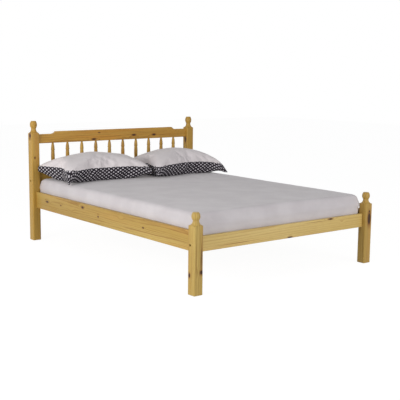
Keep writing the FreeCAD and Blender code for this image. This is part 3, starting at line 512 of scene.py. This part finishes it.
def ring_points(half_x, half_y, radius, per_side, per_end, per_corner):
    """Points and outward directions round a rounded rectangle, counterclockwise from its right side."""
    points = []
    corners = ((1, 1, 0), (-1, 1, 90), (-1, -1, 180), (1, -1, 270))
    counts = (per_end, per_side, per_end, per_side)
    for (sign_x, sign_y, angle), count in zip(corners, counts):
        middle = Vector((sign_x * (half_x - radius), sign_y * (half_y - radius)))
        for step in range(per_corner):
            turn = math.radians(angle + 90 * step / (per_corner - 1))
            out = Vector((math.cos(turn), math.sin(turn)))
            points.append((middle + out * radius, out))
        last, out = points[-1]
        run = 2 * (half_x - radius) if angle in (0, 180) else 2 * (half_y - radius)
        along = Vector((-out.y, out.x))
        for step in range(1, count):
            points.append((last + along * (run * step / count), out))
    return points


def soft_noise(point, scale, seed):
    return noise.noise(Vector((point[0] * scale[0] + seed, point[1] * scale[1], point[2] * scale[2])))


def crease_field(point, scale, seed, sharpness):
    """Thin raised lines where a smooth noise passes through zero."""
    return (1 - abs(soft_noise(point, scale, seed))) ** sharpness


# ------------------------------------------------------------------ mattress and fitted sheet

sheet_low, sheet_high = (Vector(corner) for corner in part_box("fitted_sheet"))
core_low, core_high = (Vector(corner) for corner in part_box("mattress"))
EDGE_RADIUS = 33 * MM
FOOT_RADIUS = 12 * MM
CORNER_RADIUS = 26 * MM
CROWN = 6 * MM
BULGE = 4 * MM
SPILL = 4 * MM
RAIL_TOP = 66 * MM
HEM_INSET = 120 * MM
SHEET_REACH = Vector((5 * MM, 2 * MM, 0))
CORE_SLACK = Vector((6 * MM, 6 * MM, 0))
CORE_DROP = Vector((0, 0, 5 * MM))
CORE_INSET = 200 * MM

# Faces along each side, each end and each corner, and rows of each part of the outline.
RING_COUNTS = (60, 84, 12)
UNDER_ROWS, FOOT_ROWS, SIDE_ROWS, EDGE_ROWS, TOP_ROWS = 8, 4, 12, 8, 54
# Half width of the long face that closes the top, and the rings' least corner radius.
TOP_CLOSE = 4 * MM
LEAST_RADIUS = 0.2 * MM
CROWN_POWER = 4

# Wrinkles: noise scale to the metre, shift of the seed, height in millimetres.
WRINKLE_SEED = 3.7
SIDE_WAVE = ((7, 5, 1), 0, 2.2)
SIDE_PULL = ((22, 4, 1), 9, 2.0)
TOP_SWELL = ((2.2, 1.4, 1), 0, 2.5)
TOP_FINE = ((14, 9, 1), 7, 0.5)
TOP_CREASE = ((2.6, 5.5, 1), 4, 0.8)
CREASE_POWER = 14
# Gathers by the corners: turn to the metre, lean, height in millimetres, reach in metres.
GATHER_TURN, GATHER_LEAN, GATHER_HEIGHT, GATHER_REACH = 95, 3, 1.6, 0.13

# Gathers of the sheet's mouth: turn for each point and depth in millimetres.
MOUTH_ROWS = 3
MOUTH_GATHERS = ((1.9, 3.0), (0.83, 2.0))
HEM_HALF_WIDTH = 5 * MM
HEM_HALF_THICK = 0.38 * MM
HEM_LIFT = Vector((0, 0, 0.4 * MM))
HEM_FACES = 8
HEM_PUCKER, HEM_PUCKER_TURN = 0.18, 2.4


def block_profile(height, start_inset):
    """Inset and height of the block's outline, from under its edge to the middle of its top."""
    profile = []
    for step in range(UNDER_ROWS):
        share = step / UNDER_ROWS
        profile.append((start_inset + (FOOT_RADIUS + BULGE - start_inset) * share, 0.0))
    for step in range(FOOT_ROWS + 1):
        turn = math.radians(90 * step / FOOT_ROWS)
        profile.append((BULGE + FOOT_RADIUS * (1 - math.sin(turn)), FOOT_RADIUS * (1 - math.cos(turn))))
    side_top = height - EDGE_RADIUS
    for step in range(1, SIDE_ROWS):
        share = step / SIDE_ROWS
        rise = FOOT_RADIUS + (side_top - FOOT_RADIUS) * share
        over_rail = min(1.0, max(0.0, (rise - RAIL_TOP) / (side_top - RAIL_TOP)))
        profile.append((BULGE * (2 * share - 1) ** 2 - SPILL * math.sin(math.pi * over_rail), rise))
    for step in range(EDGE_ROWS + 1):
        turn = math.radians(90 * step / EDGE_ROWS)
        profile.append((BULGE + EDGE_RADIUS * (1 - math.cos(turn)), side_top + EDGE_RADIUS * math.sin(turn)))
    return profile


def wrinkle(point, kind, seed):
    scale, shift, height = kind
    return soft_noise(point, scale, seed + shift) * height


def side_wrinkles(point, out, rise, height, seed):
    """Outward shift of the cloth on the block's sides."""
    along = point.x * abs(out.y) + point.y * abs(out.x)
    to_corner = (core_high.x - abs(point.x)) + (core_high.y - abs(point.y - block_middle.y))
    near_corner = math.exp(-to_corner / GATHER_REACH)
    share = rise / height
    wave = wrinkle((along, rise, 0), SIDE_WAVE, seed)
    gather = math.sin(along * GATHER_TURN + GATHER_LEAN * share) * near_corner * GATHER_HEIGHT
    pull = wrinkle((along, rise, 0), SIDE_PULL, seed) * (1 - share)
    return (wave + gather + pull) * MM


def top_wrinkles(point, seed):
    """Lift of the cloth on the block's top."""
    flat = (point.x, point.y, 0)
    scale, shift, height = TOP_CREASE
    crease = crease_field(flat, scale, seed + shift, CREASE_POWER) * height
    return (wrinkle(flat, TOP_SWELL, seed) + crease + wrinkle(flat, TOP_FINE, seed)) * MM


block_middle = (sheet_low + sheet_high) / 2


def block_mesh(name, low, high, start_inset, wrinkled):
    """Mattress-shaped skin built of rings from under its edge to the middle of its top."""
    half_x, half_y = (high.x - low.x) / 2, (high.y - low.y) / 2
    middle = (low + high) / 2
    height = high.z - low.z - CROWN
    mesh = bmesh.new()
    rings = []
    profile = block_profile(height, start_inset)
    last_inset = profile[-1][0]
    for row in range(1, TOP_ROWS + 1):
        profile.append((last_inset + (half_x - last_inset - TOP_CLOSE) * row / TOP_ROWS, height))
    for index, (inset, rise) in enumerate(profile):
        radius = max(CORNER_RADIUS * (1 - inset / half_x), LEAST_RADIUS)
        ring = []
        outline = ring_points(half_x - inset, half_y - inset, radius, *RING_COUNTS)
        for number, (flat, out) in enumerate(outline):
            point = Vector((middle.x + flat.x, middle.y + flat.y, low.z + rise))
            crown = CROWN * max(0.0, 1 - ((point.x - middle.x) / half_x) ** 2)
            point.z += crown * (rise / height) ** CROWN_POWER
            if wrinkled and rise > 1 * MM:
                on_top = min(1.0, max(0.0, (rise - (height - EDGE_RADIUS)) / EDGE_RADIUS))
                shift = side_wrinkles(point, out, rise, height, WRINKLE_SEED) * (1 - on_top)
                point.x += out.x * shift
                point.y += out.y * shift
                point.z += top_wrinkles(point, WRINKLE_SEED) * on_top
            elif wrinkled and index < MOUTH_ROWS:
                gathers = sum(math.sin(number * turn) * depth for turn, depth in MOUTH_GATHERS)
                point.x -= out.x * gathers * MM * (1 - index / MOUTH_ROWS)
                point.y -= out.y * gathers * MM * (1 - index / MOUTH_ROWS)
            ring.append(mesh.verts.new(point))
        rings.append(ring)
    for lower, upper in zip(rings, rings[1:]):
        count = len(lower)
        for number in range(count):
            ahead = (number + 1) % count
            mesh.faces.new((lower[number], lower[ahead], upper[ahead], upper[number]))
    mesh.faces.new(rings[-1])
    if not wrinkled:
        mesh.faces.new(reversed(rings[0]))
    data = bpy.data.meshes.new(name)
    mesh.to_mesh(data)
    mesh.free()
    return data


def make_hem(rim, material):
    """Gathered elastic casing round the mouth of the sheet."""
    mesh = bmesh.new()
    loops = []
    count = len(rim)
    for number, point in enumerate(rim):
        before = rim[number - 1]
        ahead = rim[(number + 1) % count]
        way = (ahead - before).normalized()
        side = Vector((-way.y, way.x, 0))
        half_width = HEM_HALF_WIDTH * (1 + HEM_PUCKER * math.sin(number * HEM_PUCKER_TURN))
        ring = []
        for step in range(HEM_FACES):
            turn = 2 * math.pi * step / HEM_FACES
            lift = Vector((0, 0, HEM_HALF_THICK * math.sin(turn)))
            ring.append(mesh.verts.new(point + side * (half_width * math.cos(turn)) + lift))
        loops.append(ring)
    for number in range(count):
        here, ahead = loops[number], loops[(number + 1) % count]
        for step in range(HEM_FACES):
            after = (step + 1) % HEM_FACES
            mesh.faces.new((here[step], here[after], ahead[after], ahead[step]))
    bmesh.ops.recalc_face_normals(mesh, faces=mesh.faces)
    data = bpy.data.meshes.new("sheet_hem")
    mesh.to_mesh(data)
    mesh.free()
    return new_piece("sheet_hem", data, [material])


def make_bedding():
    core_top = core_high - CORE_SLACK - CORE_DROP
    core = block_mesh("mattress_core", core_low + CORE_SLACK, core_top, CORE_INSET, False)
    mattress = new_piece("mattress_core", core, [ticking()])
    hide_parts("mattress")

    cotton_sheet = cotton("cotton_sheet", SHEET, SHEET_SHADE, 0.16)
    skin = block_mesh("sheet_skin", sheet_low - SHEET_REACH, sheet_high + SHEET_REACH, HEM_INSET, True)
    ring_size = len(ring_points(1, 1, 0.1, *RING_COUNTS))
    rim = [skin.vertices[number].co + HEM_LIFT for number in range(ring_size)]
    sheet = new_piece("sheet_skin", skin, [cotton_sheet])
    hem = make_hem(rim, cotton_sheet)
    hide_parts("fitted_sheet")


# ------------------------------------------------------------------ pillows

CASE_LENGTH = 745 * MM
CASE_DEPTH = 480 * MM
CELL = 11 * MM
BORDER = 55 * MM
PILLOW_FRAMES = 28
SEAM_HEIGHT = 96 * MM
UNDERSIDE_PRESS = 1.45
CASE_RISE = 12 * MM
CASE_JITTER = 4 * MM
JITTER_SCALE = (0.17, 0.17, 5.0)
PLAIN, DOTTED = 0, 1

# How sharply the droops gather in the corners and the slumps at the ends.
DROOP_POWER = 5
SLUMP_POWER = 3
# The print goes round the corners, this far into them and this far under the seam.
CORNER_PRINT = 0.6
SEAM_MARGIN = 2 * MM

# Side, turn in degrees, seed, droop of each corner by (right, head), then the slumps and the reaches
# of the left and the right end.
PILLOWS = (
    (
        "left", 0.0, 1.3,
        {(False, False): 0.95, (True, False): 0.3, (False, True): 0.1, (True, True): 0.3},
        (0.0, 0.06), (0.0, 8 * MM),
    ),
    (
        "right", 3.0, 8.1,
        {(False, False): 0.5, (True, False): 0.8, (False, True): 0.3, (True, True): 0.8},
        (0.12, 0.42), (8 * MM, 0.0),
    ),
)


def case_mesh(name, seed):
    """Flat pillowcase: plain top panel, patterned border and underside, with a measure in its UV map."""
    columns, rows, layers = round(CASE_LENGTH / CELL), round(CASE_DEPTH / CELL), round(BORDER / CELL)
    mesh = bmesh.new()
    uv = mesh.loops.layers.uv.new("measure")
    corners = {}

    def corner(i, j, k):
        if (i, j, k) not in corners:
            u, v, w = 2 * i / columns - 1, 2 * j / rows - 1, 2 * k / layers - 1
            fill = (1 - u * u) * (1 - v * v)
            jitter = soft_noise((i, j, k), JITTER_SCALE, seed) * CASE_JITTER
            height = w * (BORDER / 2 + CASE_RISE * fill ** 0.5 + jitter * fill)
            corners[i, j, k] = mesh.verts.new((u * CASE_LENGTH / 2, v * CASE_DEPTH / 2, height))
        return corners[i, j, k]

    def panel(at, across, up, material, flip):
        for a in range(across):
            for b in range(up):
                places = [(a, b), (a + 1, b), (a + 1, b + 1), (a, b + 1)]
                if flip:
                    places.reverse()
                face = mesh.faces.new([corner(*at(*place)) for place in places])
                face.material_index = material
                for loop, place in zip(face.loops, places):
                    loop[uv].uv = (place[0] * CELL, place[1] * CELL)

    panel(lambda a, b: (a, b, layers), columns, rows, PLAIN, False)
    panel(lambda a, b: (a, b, 0), columns, rows, DOTTED, True)
    panel(lambda a, b: (a, 0, b), columns, layers, DOTTED, False)
    panel(lambda a, b: (a, rows, b), columns, layers, DOTTED, True)
    panel(lambda a, b: (0, a, b), rows, layers, DOTTED, True)
    panel(lambda a, b: (columns, a, b), rows, layers, DOTTED, False)
    data = bpy.data.meshes.new(name)
    mesh.to_mesh(data)
    mesh.free()
    return data


def inflate(piece):
    """Fill a case by cloth pressure and keep the result."""
    cloth = piece.modifiers.new("filling", "CLOTH")
    settings = cloth.settings
    settings.quality = 6
    settings.mass = 0.25
    settings.tension_stiffness = 40
    settings.compression_stiffness = 12
    settings.shear_stiffness = 8
    settings.bending_stiffness = 0.4
    settings.use_pressure = True
    settings.uniform_pressure_force = 2.0
    settings.effector_weights.gravity = 0.0
    cloth.point_cache.frame_start = 1
    cloth.point_cache.frame_end = PILLOW_FRAMES
    scene = bpy.context.scene
    for number in range(1, PILLOW_FRAMES + 1):
        scene.frame_set(number)
    ready = piece.evaluated_get(bpy.context.evaluated_depsgraph_get())
    shaped = [vertex.co.copy() for vertex in ready.data.vertices]
    piece.modifiers.remove(cloth)
    scene.frame_set(1)
    for vertex, point in zip(piece.data.vertices, shaped):
        vertex.co = point


def settle(piece, node, turn, droops, slumps, reaches):
    """Bring a filled case to its place and real size on the mattress.

    Droops give each corner's sag, slumps how much lower the left and right ends lie, and reaches how far
    these ends press beyond the modelled length.
    """
    low, high = (Vector(corner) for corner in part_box(node))
    middle = (low + high) / 2
    points = [vertex.co for vertex in piece.data.vertices]
    half_x = max(abs(point.x) for point in points)
    half_y = max(abs(point.y) for point in points)
    top = max(point.z for point in points)
    bottom = min(point.z for point in points)
    lean = abs(math.radians(turn))
    span_x, span_y = high.x - low.x, high.y - low.y
    want_x = (span_x - span_y * math.sin(lean)) / math.cos(lean) / 2
    want_y = (span_y - 2 * want_x * math.sin(lean)) / math.cos(lean) / 2
    height = high.z - low.z
    seam = BORDER / 2
    for vertex in piece.data.vertices:
        x, y, z = vertex.co
        if z > seam:
            z = SEAM_HEIGHT + (z - seam) / (top - seam) * (height - SEAM_HEIGHT)
        else:
            z = SEAM_HEIGHT * (1 - (seam - z) / (seam - bottom) * UNDERSIDE_PRESS)
        u, v = abs(x) / half_x, abs(y) / half_y
        sag = droops[(x > 0, y > 0)] * (u * v) ** DROOP_POWER
        z = max(z * (1 - slumps[x > 0] * u ** SLUMP_POWER) - sag * SEAM_HEIGHT, 0.0)
        vertex.co = (x * (want_x + reaches[x > 0]) / half_x, y * want_y / half_y, z)
    for face in piece.data.polygons:
        x, y, z = face.center
        u, v = abs(x) / want_x, abs(y) / want_y
        seam_here = SEAM_HEIGHT * (1 - slumps[x > 0] * u ** SLUMP_POWER)
        if u * v > CORNER_PRINT and z < seam_here - SEAM_MARGIN:
            face.material_index = DOTTED
    piece.data.transform(Matrix.Rotation(math.radians(turn), 4, "Z"))
    piece.data.transform(Matrix.Translation((middle.x, middle.y, low.z)))


def make_pillow(materials, side, turn, seed, droops, slumps, reaches):
    name = "pillowcase_" + side
    node = "pillow_" + side
    piece = new_piece(name, case_mesh(name, seed), materials)
    inflate(piece)
    settle(piece, node, turn, droops, slumps, reaches)
    finer = piece.modifiers.new("finer", "SUBSURF")
    finer.levels = 1
    finer.render_levels = 1
    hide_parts(node)


# ------------------------------------------------------------------ stage, light and camera

CAMERA_PLACE = Vector((-3.4746, -4.5210, 1.2180))
CAMERA_YAW = 0.6664
CAMERA_PITCH = -0.1498
CAMERA_ROLL = 0.0105
FOCAL_PIXELS = 824.9
IMAGE_PIXELS = 400
SENSOR = 36.0
WORLD_STRENGTH = 0.34
SKY = (0.98, 0.985, 1.0, 1)
WHITE = (1, 1, 1, 1)
FLOOR_TONE = (0.80, 0.80, 0.80, 1)
FLOOR_REACH = 14.0
GLOW_SHARE = 0.86
GLOW_STRENGTH = 1.104

# Name, place, target, side, watts and colour.
LAMPS = (
    ("key", (-4.4, -0.6, 1.5), (-0.3, -0.3, 0.4), 2.5, 122.0, (1.0, 0.99, 0.97)),
    ("fill", (1.0, -5.2, 1.6), (0.2, 0.0, 0.4), 2.5, 98.0, (1.0, 0.99, 0.98)),
)


def make_camera():
    ahead = Vector((
        math.sin(CAMERA_YAW) * math.cos(CAMERA_PITCH),
        math.cos(CAMERA_YAW) * math.cos(CAMERA_PITCH),
        math.sin(CAMERA_PITCH),
    ))
    right = Vector((math.cos(CAMERA_YAW), -math.sin(CAMERA_YAW), 0))
    up = right.cross(ahead)
    turned_right = right * math.cos(CAMERA_ROLL) + up * math.sin(CAMERA_ROLL)
    turned_up = up * math.cos(CAMERA_ROLL) - right * math.sin(CAMERA_ROLL)
    lens = bpy.data.cameras.new("camera")
    lens.sensor_width = SENSOR
    lens.lens = FOCAL_PIXELS / IMAGE_PIXELS * SENSOR
    lens.clip_end = 100
    camera = bpy.data.objects.new("camera", lens)
    basis = Matrix((turned_right, turned_up, -ahead)).transposed().to_4x4()
    camera.matrix_world = Matrix.Translation(CAMERA_PLACE) @ basis
    bpy.context.scene.collection.objects.link(camera)
    bpy.context.scene.camera = camera


def add_lamp(name, place, target, size, energy, colour):
    lamp = bpy.data.lights.new(name, "AREA")
    lamp.shape = "SQUARE"
    lamp.size = size
    lamp.energy = energy
    lamp.color = colour
    thing = bpy.data.objects.new(name, lamp)
    thing.location = place
    thing.rotation_mode = "QUATERNION"
    thing.rotation_quaternion = (Vector(target) - Vector(place)).to_track_quat("-Z", "Y")
    bpy.context.scene.collection.objects.link(thing)


def shows_white(tree, light_path):
    """Factor that is 1 for rays whose background should be seen as plain white."""
    first = tree.nodes.new("ShaderNodeMath")
    first.operation = "MAXIMUM"
    tree.links.new(light_path.outputs["Is Camera Ray"], first.inputs[0])
    tree.links.new(light_path.outputs["Is Glossy Ray"], first.inputs[1])
    second = tree.nodes.new("ShaderNodeMath")
    second.operation = "MAXIMUM"
    tree.links.new(first.outputs[0], second.inputs[0])
    tree.links.new(light_path.outputs["Is Transmission Ray"], second.inputs[1])
    return second.outputs[0]


def make_world():
    world = bpy.data.worlds.new("studio")
    world.use_nodes = True
    tree = world.node_tree
    tree.nodes.clear()
    path = tree.nodes.new("ShaderNodeLightPath")
    soft = tree.nodes.new("ShaderNodeBackground")
    soft.inputs["Color"].default_value = SKY
    soft.inputs["Strength"].default_value = WORLD_STRENGTH
    white = tree.nodes.new("ShaderNodeBackground")
    white.inputs["Color"].default_value = WHITE
    white.inputs["Strength"].default_value = 1.0
    choose = tree.nodes.new("ShaderNodeMixShader")
    output = tree.nodes.new("ShaderNodeOutputWorld")
    tree.links.new(shows_white(tree, path), choose.inputs[0])
    tree.links.new(soft.outputs[0], choose.inputs[1])
    tree.links.new(white.outputs[0], choose.inputs[2])
    tree.links.new(choose.outputs[0], output.inputs[0])
    bpy.context.scene.world = world


def make_floor():
    """Pale floor: plain white to the eye, with a trace of the bed's shadow."""
    mesh = bpy.data.meshes.new("floor")
    corners = [(x * FLOOR_REACH, y * FLOOR_REACH, 0) for x, y in ((-1, -1), (1, -1), (1, 1), (-1, 1))]
    mesh.from_pydata(corners, [], [(0, 1, 2, 3)])
    floor = bpy.data.objects.new("floor", mesh)
    bpy.context.scene.collection.objects.link(floor)
    material = bpy.data.materials.new("floor_white")
    material.use_nodes = True
    tree = material.node_tree
    tree.nodes.clear()
    path = tree.nodes.new("ShaderNodeLightPath")
    matt = tree.nodes.new("ShaderNodeBsdfDiffuse")
    matt.inputs["Color"].default_value = FLOOR_TONE
    shadow_part = tree.nodes.new("ShaderNodeMixShader")
    shadow_part.inputs[0].default_value = GLOW_SHARE
    glow = tree.nodes.new("ShaderNodeEmission")
    glow.inputs["Color"].default_value = WHITE
    glow.inputs["Strength"].default_value = GLOW_STRENGTH
    tree.links.new(matt.outputs[0], shadow_part.inputs[1])
    tree.links.new(glow.outputs[0], shadow_part.inputs[2])
    choose = tree.nodes.new("ShaderNodeMixShader")
    tree.links.new(shows_white(tree, path), choose.inputs[0])
    tree.links.new(matt.outputs[0], choose.inputs[1])
    tree.links.new(shadow_part.outputs[0], choose.inputs[2])
    output = tree.nodes.new("ShaderNodeOutputMaterial")
    tree.links.new(choose.outputs[0], output.inputs[0])
    mesh.materials.append(material)


# ------------------------------------------------------------------ the scene

dress_wood()
zinc_plate = zinc()
for steel_node in STEEL_NODES:
    dress(steel_node, zinc_plate)
# The sunk bolt heads get a near-black colour that paints the shade of their holes.
dress("connector_bolts", black_steel())
beech_dowel = beech()
for dowel_node in ("rail_dowels", "centre_leg_pin"):
    dress(dowel_node, beech_dowel)

make_bedding()
case_materials = [cotton("cotton_pillow", PILLOW, PILLOW_SHADE, 0.22), dotted_cotton()]
for pillow in PILLOWS:
    make_pillow(case_materials, *pillow)

make_world()
make_floor()
for lamp in LAMPS:
    add_lamp(*lamp)
make_camera()

bpy.context.scene.view_settings.view_transform = "Standard"
